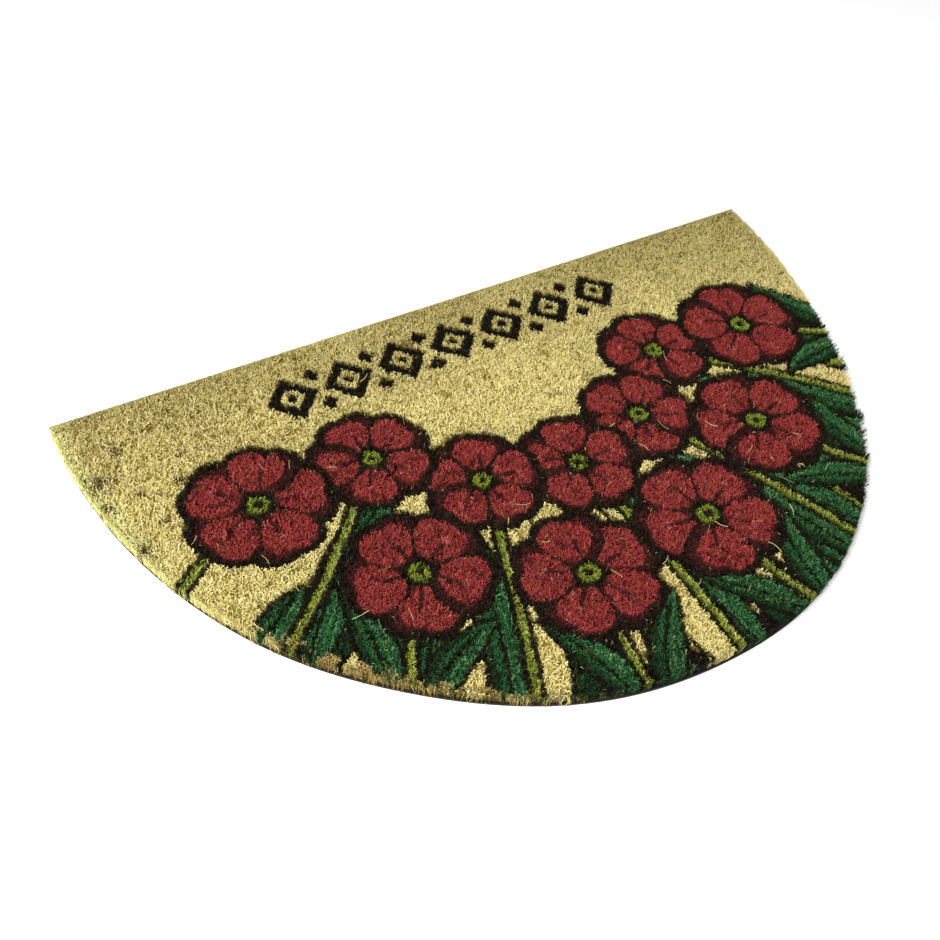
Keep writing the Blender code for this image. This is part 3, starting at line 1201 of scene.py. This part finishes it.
# %% Rim stations
EDGE_ZONE = 1.0
RIM_STATIONS = (
    # degrees, outward lean, set back in mm, height at which the dye starts, tuft size, level of the foot,
    # which sets how far up the painted root shade reaches, lean of the spikes, tone. The straight edge runs
    # on from 180 at the left corner to 360 at the right
    (0, 0.07, 0.0, 0.50, 0.5, 0.2, 0.00, 0.90),
    (18, 0.12, 0.5, 0.35, 1.2, 0.1, 0.08, 0.88),
    (26, 0.10, 1.6, 0.30, 1.7, 0.0, 0.36, 0.85),
    (48, 0.10, 1.6, 0.25, 1.7, -0.2, 0.36, 0.85),
    (60, 0.05, 0.2, 0.15, 0.8, 0.0, 0.12, 0.80),
    (80, 0.03, 0.3, -0.10, 0.6, 0.2, 0.00, 0.65),
    (88, 0.00, 0.9, -0.25, 0.8, 0.3, 0.00, 0.50),
    (100, 0.00, 0.9, -0.10, 1.2, 0.2, 0.00, 0.50),
    (112, 0.03, 1.2, 0.40, 1.6, 0.0, 0.05, 0.60),
    (122, 0.04, 1.3, 0.60, 1.6, -0.2, 0.05, 0.78),
    (140, 0.05, 0.8, 0.62, 1.6, -0.1, 0.05, 0.92),
    (156, 0.05, 0.0, 0.60, 0.6, 0.3, 0.00, 0.95),
    (168, 0.05, 0.0, 0.60, 0.4, 0.5, 0.00, 0.92),
    (180, 0.05, 0.0, 0.60, 0.4, 0.5, 0.00, 0.96),
    (360, 0.07, 0.0, 0.50, 0.5, 0.2, 0.00, 0.90),
)
GROUPED_STARTS, GROUPED_ENDS = (92, 104), (139, 149)


def walk_rim(spacing):
    """Places along the rim, with the direction that points out of the mat there."""
    places, outward = [], []
    for start, end in zip(rim, np.roll(rim, -1, axis=0)):
        run = end - start
        length = math.hypot(*run)
        steps = max(1, round(length / spacing))
        share = (np.arange(steps) + 0.5) / steps
        places.append(start + run * share[:, None])
        outward.append(np.tile((run[1] / length, -run[0] / length), (steps, 1)))
    return np.concatenate(places), np.concatenate(outward)


def on_straight_edge(spots):
    return spots[:, 1] > straight_y - EDGE_ZONE


def stations_at(spots):
    """What the stations say at places on the rim."""
    round_arc = arc_place(*spots.T)[1]
    along_edge = 270 + 90 * (spots[:, 0] - middle_x) / half_width
    turn = np.where(on_straight_edge(spots), along_edge, round_arc)
    stations = np.array(RIM_STATIONS).T
    return [np.interp(turn, stations[0], row) for row in stations[1:]]


def tufts_at(spots, degrees):
    """How dark the tuft at each place is, how deep the place lies in a gap between tufts, which is used
    to darken the fibres there as painted shade, and how far the tufts stand apart there, which is only
    along the bare stretch."""
    dark = ease(-rim_tufts(*spots.T), 0.0, 0.25)
    apart = ease(degrees, *GROUPED_STARTS) * fall(degrees, *GROUPED_ENDS)
    gap = 1 - ease(soft_noise(*spots.T, 2.4, 54), -0.35, 0.15)
    return dark, gap, apart


print(len(RIM_STATIONS), "stations,", len(walk_rim(1.0)[0]), "mm round the rim")

# %% [markdown]
# ## The rim
# The fibres of the rim stand in a few close rows, from the sheet to the mown top, gathered in curly
# tufts. At the lower left a few hang out over the sheet. The straight edge gets more rows, because its
# cut is square and closed.

# %% Standing rim
RIM_SPACING = 0.5
RIM_FATNESS = 1.0
RIM_ROWS = 3
EDGE_ROWS = 6
RIM_FOOT = sheet_high.z / MM - 0.2
# painted shade saturation of the rim's darker fibres
RIM_SHADE_SATURATION = 0.2
SPIKE_OVERHANG = 14.0
TUFT_CELL = 3.5
TUFT_SWAY, TUFT_REACH, TUFT_DROP, TUFT_TONE = 0.10, 0.09, 1.3, 0.30
HANG_SHARE = 0.11
HANG_FROM, HANG_TO = 108.0, 156.0
HANG_PULL = 0.04
BENT_SHARE = 0.5
LEAST_SOAK, MOST_SOAK = -0.3, 0.9
DARK_TUFT_SOAK = 0.8


def leans(outward, reach, sway):
    """Slopes along x and y from those out of the mat and along its rim."""
    return outward[:, 0] * reach - outward[:, 1] * sway, outward[:, 1] * reach + outward[:, 0] * sway


def rim_soak(soak, dark, spread, draw):
    own = draw.normal(0, spread, len(soak))
    return np.clip(soak * (1 - DARK_TUFT_SOAK * dark) + own, LEAST_SOAK, MOST_SOAK)


def standing_rim(draw):
    """The fibres that stand along the cut edges, from the sheet to the mown top."""
    spots, outward = walk_rim(RIM_SPACING)
    rows = np.where(on_straight_edge(spots), EDGE_ROWS, RIM_ROWS)
    spots, outward = np.repeat(spots, rows, axis=0), np.repeat(outward, rows, axis=0)
    count = len(spots)
    degrees = arc_place(*spots.T)[1]
    lean, set_back, soak, curl, level, spike, tone = stations_at(spots)
    arc = np.clip(straight_y - 2.0 - spots[:, 1], 0.0, 1.0)
    inset = draw.uniform(0.3, 2.2, count) * (0.5 + 0.5 * arc) + set_back * arc
    hangs = (draw.random(count) < HANG_SHARE) & (degrees > HANG_FROM) & (degrees < HANG_TO)
    inset[hangs] = draw.uniform(-0.8, -0.4, hangs.sum())
    spots = spots - outward * inset[:, None]
    spots = spots + draw.uniform(-0.3, 0.3, (count, 2)) * (0.4 + 0.6 * arc)[:, None]
    tuft = soft_noise(*spots.T, TUFT_CELL, 51)
    sway = TUFT_SWAY * curl * soft_noise(*spots.T, TUFT_CELL, 52)
    sway += draw.normal(0, 0.14, count) * (0.5 + 0.5 * arc)
    reach = arc * (lean + TUFT_REACH * tuft * curl) + draw.normal(0, 0.07, count) * (0.3 + 0.7 * arc)
    reach += arc * spike * ease(soft_noise(*spots.T, 1.9, 53), 0.0, 0.5)
    reach[hangs] -= HANG_PULL
    foot = np.where(hangs, draw.uniform(1.3, 2.2, count), RIM_FOOT)
    unevenness = pile_top(*spots.T) - np.abs(draw.normal(0, 0.9, count))
    unevenness += TUFT_DROP * curl * np.minimum(tuft, 0.0)
    height = PILE_TOP - foot + unevenness * (0.1 + 0.9 * roughness_near_edge(spots[:, 1]))
    dark, gap, apart = tufts_at(spots, degrees)
    bent = (draw.random(count) < BENT_SHARE) & (arc > 0)
    kind = np.where(bent, BENT_KIND, draw.integers(0, STRAIGHT_KINDS, count))
    width = draw.uniform(0.5, 0.95, count) * RIM_FATNESS
    tone = np.clip(draw.normal(tone, 0.16, count) + TUFT_TONE * curl * tuft, 0.25, 1.6)
    # dark tufts are darker, and the gaps between tufts are darkened as painted shade
    tone = tone * ((1 - 0.45 * dark * apart) * (1 - 0.5 * gap * apart))
    fibres = fibre_table(*spots.T, foot, kind, *leans(outward, reach, sway), height, width, tone, 0.0, draw,
                         ARC_OVERHANG + SPIKE_OVERHANG * spike, RIM_SHADE_SATURATION)
    fibres["level"] = level
    fibres["soak"] = rim_soak(soak, dark, 0.06, draw)
    return fibres


print("rim fibres", RIM_SPACING, "mm apart")

# %% [markdown]
# ## Side curls
# All along the arc, short fibres have sprung loose from the cut side and lie across the standing ones.
# Each starts at its own height, and is planted together with the rim as one piece.

# %% Side curls
CURL_SPACING = 0.7
CURL_ROWS = 3
CURL_REACH = 0.45
CURL_FAN = math.radians(75)
# painted shade saturation of the curls' darker fibres
CURL_SHADE_SATURATION = 0.3
RIM_SEED = 6


def side_curls(draw):
    spots, outward = walk_rim(CURL_SPACING)
    arc = spots[:, 1] < straight_y - 3.0
    spots, outward = np.repeat(spots[arc], CURL_ROWS, axis=0), np.repeat(outward[arc], CURL_ROWS, axis=0)
    count = len(spots)
    degrees = arc_place(*spots.T)[1]
    lean, set_back, soak, _, level, spike, tone = stations_at(spots)
    foot = draw.uniform(3.2, 14.2, count)
    spots = spots - outward * (set_back + draw.uniform(0.0, 0.8, count) - lean * foot)[:, None]
    length = draw.uniform(1.6, 3.6, count)
    height = np.minimum(length * draw.uniform(0.35, 0.9, count), PILE_TOP + 0.4 - foot)
    across = np.sqrt(np.maximum(length ** 2 - height ** 2, 0.0)) / height
    heading = draw.uniform(-1.0, 1.0, count) * CURL_FAN
    side = np.where(draw.random(count) < 0.5, -1.0, 1.0)
    reach, sway = across * np.sin(np.abs(heading)) * CURL_REACH, side * across * np.cos(heading)
    dark, gap, apart = tufts_at(spots, degrees)
    kind = draw.integers(0, STRAIGHT_KINDS, count)
    width = draw.uniform(0.4, 0.75, count) * FIBRE_FATNESS
    # the gaps between tufts are darkened as painted shade
    tone = np.clip(draw.normal(tone * 1.05, 0.2, count), 0.3, 1.6) * (1 - 0.6 * gap * apart)
    fibres = fibre_table(*spots.T, foot, kind, *leans(outward, reach, sway), height, width, tone,
                         LOOSE_LEVEL, draw, ARC_OVERHANG + SPIKE_OVERHANG * spike, CURL_SHADE_SATURATION)
    fibres["level"] = np.clip(foot / PILE_TOP + 0.5 * np.maximum(level, 0.0), 0.0, 0.95)
    fibres["soak"] = rim_soak(soak, dark, 0.08, draw)
    return fibres


def grow_rim():
    draw = np.random.default_rng(RIM_SEED)
    plant_fibres("coir_rim", join_tables((standing_rim(draw), side_curls(draw))))


grow_rim()

# %% [markdown]
# ## The bed
# Between the fibres one looks down into packed, shaded coir. A solid bed stands for it: a slab that
# starts from the rim, is filled and cut into a grid with bisect_plane, and is then lumped a little.
# It keeps the dye of the print and the straw above it as attributes on its corners, both darkened as
# painted shade.

# %% Bed
BED_TOP = 12.2
BED_GAP = 0.3
BED_INSET = 2.0
BED_CELL = 3.3
BED_SEED = 8
# Painted shade: how much the bed's straw and dye are darkened, for the shade between the fibres
BED_SHADE = (0.36, 0.30, 0.15)
BED_DYE_SHADE = 0.22
BED_RISE = 0.6
BED_LUMPS = 0.8
BED_PITS = 2.5


def inset_rim(distance):
    towards = np.roll(rim, -1, axis=0) - np.roll(rim, 1, axis=0)
    towards /= np.hypot(towards[:, 0], towards[:, 1])[:, None]
    return rim - np.stack((towards[:, 1], -towards[:, 0]), axis=1) * distance


def slab_from_rim(outline, low, high, cell):
    bm = bmesh.new()
    ring = [bm.verts.new((x * MM, y * MM, high * MM)) for x, y in outline]
    edges = [bm.edges.new(pair) for pair in zip(ring, ring[1:] + ring[:1])]
    bmesh.ops.contextual_create(bm, geom=edges)
    for axis, normal in ((0, (1, 0, 0)), (1, (0, 1, 0))):
        for place in np.arange(outline[:, axis].min() + cell, outline[:, axis].max(), cell):
            bmesh.ops.bisect_plane(bm, geom=bm.verts[:] + bm.edges[:] + bm.faces[:], dist=1e-6,
                                   plane_co=[place * MM * n for n in normal], plane_no=normal)
    border = [edge for edge in bm.edges if edge.is_boundary]
    skirt = bmesh.ops.extrude_edge_only(bm, edges=border)["geom"]
    for vert in (part for part in skirt if isinstance(part, bmesh.types.BMVert)):
        vert.co.z = low * MM
    hem = [part for part in skirt if isinstance(part, bmesh.types.BMEdge) and part.is_boundary]
    bmesh.ops.holes_fill(bm, edges=hem, sides=0)
    bmesh.ops.recalc_face_normals(bm, faces=bm.faces[:])
    return bm


def grow_bed():
    draw = np.random.default_rng(BED_SEED)
    bm = slab_from_rim(inset_rim(BED_INSET), sheet_high.z / MM + BED_GAP, BED_TOP, BED_CELL)
    bed = mesh_piece("pile_bed", bm)
    mesh = bed.data
    places = np.empty(len(mesh.vertices) * 3)
    mesh.vertices.foreach_get("co", places)
    places = places.reshape(-1, 3)
    top = places[:, 2] > (BED_TOP - 1) * MM
    x, y = places[:, 0] / MM, places[:, 1] / MM
    lumps = BED_LUMPS * draw.uniform(-1, 1, top.sum()) + pile_top(x[top], y[top])
    places[top, 2] += (lumps - BED_PITS * pit_share(x[top], y[top])) * MM
    mesh.vertices.foreach_set("co", places.ravel())
    dye, straw = dye_fibres(x, y, draw)
    write_attributes(mesh, (
        ("tone", "FLOAT", "value", draw.uniform(0.6, 1.0, len(x))),
        ("take", "FLOAT", "value", dye[:, 3]),
        ("rise", "FLOAT", "value", np.full(len(x), BED_RISE)),
        ("soak", "FLOAT", "value", np.full(len(x), PILE_SOAK)),
        ("dye", "FLOAT_COLOR", "color", opaque(dye[:, :3] * BED_DYE_SHADE)),
        ("straw", "FLOAT_COLOR", "color", opaque(straw * BED_SHADE))))
    mesh.materials.append(coir)
    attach(bed, "root")
    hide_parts("coir_pile")
    print("bed", len(mesh.polygons), "faces")


grow_bed()

# %% [markdown]
# ## The backing
# The vinyl sheet is poured flat and cut with the pile. It shows as a thin dark line under the fibres
# and from below. It is a slab on the rim's outline with its cut corners softened by a small bevel. Its
# finish is nearly black, slightly cloudy, and has a faint pebble that the pouring belt leaves.

# %% Backing
EDGE_BEVEL = 0.35
LEVEL_TOLERANCE = 1e-6
PEBBLE_SCALE = 420.0
PEBBLE_DETAIL = 3.0
PEBBLE_HEIGHT = 0.0004
PEBBLE_STRENGTH = 0.35
CLOUD_SCALE = 22.0
VINYL_DARK = (0.007, 0.007, 0.007, 1.0)
VINYL_PALE = (0.016, 0.015, 0.014, 1.0)
VINYL_GLOSS = 0.2
VINYL_ROUGHNESS = (0.55, 0.8)


def vinyl_material():
    material = bpy.data.materials.new("vinyl")
    material.use_nodes = True
    tree = material.node_tree
    shader = tree.nodes["Principled BSDF"]
    shader.inputs["Specular IOR Level"].default_value = VINYL_GLOSS
    place = tree.nodes.new("ShaderNodeTexCoord")
    pebble = tree.nodes.new("ShaderNodeTexNoise")
    pebble.inputs["Scale"].default_value = PEBBLE_SCALE
    pebble.inputs["Detail"].default_value = PEBBLE_DETAIL
    tree.links.new(place.outputs["Object"], pebble.inputs["Vector"])
    cloud = tree.nodes.new("ShaderNodeTexNoise")
    cloud.inputs["Scale"].default_value = CLOUD_SCALE
    tree.links.new(place.outputs["Object"], cloud.inputs["Vector"])
    colour = mix_node(tree, "MIX", cloud.outputs["Fac"], VINYL_DARK, VINYL_PALE)
    tree.links.new(colour, shader.inputs["Base Color"])
    rough = tree.nodes.new("ShaderNodeMapRange")
    rough.inputs["To Min"].default_value, rough.inputs["To Max"].default_value = VINYL_ROUGHNESS
    tree.links.new(pebble.outputs["Fac"], rough.inputs["Value"])
    tree.links.new(rough.outputs["Result"], shader.inputs["Roughness"])
    bump = tree.nodes.new("ShaderNodeBump")
    bump.inputs["Strength"].default_value = PEBBLE_STRENGTH
    bump.inputs["Distance"].default_value = PEBBLE_HEIGHT
    tree.links.new(pebble.outputs["Fac"], bump.inputs["Height"])
    tree.links.new(bump.outputs["Normal"], shader.inputs["Normal"])
    return material


def lay_backing():
    bm = bmesh.new()
    ring = [bm.verts.new((x * MM, y * MM, sheet_low.z)) for x, y in rim]
    edges = [bm.edges.new(pair) for pair in zip(ring, ring[1:] + ring[:1])]
    face = bmesh.ops.contextual_create(bm, geom=edges)["faces"]
    raised = bmesh.ops.extrude_face_region(bm, geom=face)["geom"]
    verts = [part for part in raised if isinstance(part, bmesh.types.BMVert)]
    bmesh.ops.translate(bm, vec=(0, 0, sheet_high.z - sheet_low.z), verts=verts)
    bmesh.ops.recalc_face_normals(bm, faces=bm.faces[:])
    level = [edge for edge in bm.edges
             if abs(edge.verts[0].co.z - edge.verts[1].co.z) < LEVEL_TOLERANCE]
    bmesh.ops.bevel(bm, geom=level, offset=EDGE_BEVEL * MM, offset_type="OFFSET", affect="EDGES",
                    segments=2, profile=0.5, material=-1)
    backing = mesh_piece("vinyl_backing", bm)
    backing.data.materials.append(vinyl_material())
    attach(backing, "root")
    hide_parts("pvc_backing")
    print("backing", len(backing.data.polygons), "faces")
    return backing


backing = lay_backing()
